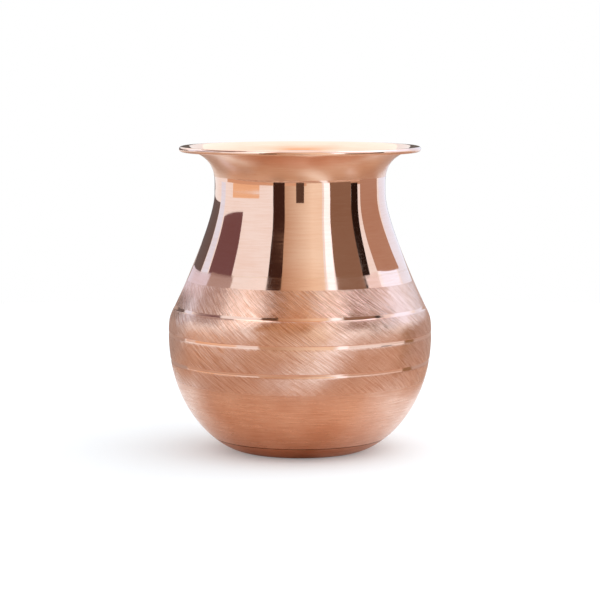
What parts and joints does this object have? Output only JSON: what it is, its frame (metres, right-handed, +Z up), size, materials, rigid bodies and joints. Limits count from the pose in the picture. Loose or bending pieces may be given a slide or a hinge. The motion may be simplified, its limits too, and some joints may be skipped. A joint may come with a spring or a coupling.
{
  "type": "lota water pot",
  "caption": "Round-bellied spun copper water pot with a waisted neck and a wide flared mouth with a rolled edge, for holding and pouring water.",
  "frame": {"origin": "centre of the base, on the plane of the flat ring that the pot stands on", "axes": "+Z up along the pot's axis, towards the mouth; X and Y are free, because the pot is round"},
  "size_m": [0.104, 0.104, 0.12],
  "materials": {
    "satin_copper": "satin",
    "polished_copper": "mirror polished",
    "brazing_metal": "satin",
    "copper_wire": "drawn"
  },
  "bodies": {
    "root": {"base_dish": "satin_copper", "base_braze": "brazing_metal", "belly_shell": "satin_copper", "shoulder_braze": "brazing_metal", "neck_shell": "polished_copper", "rim_wire": "copper_wire"}
  },
  "joints": []
}
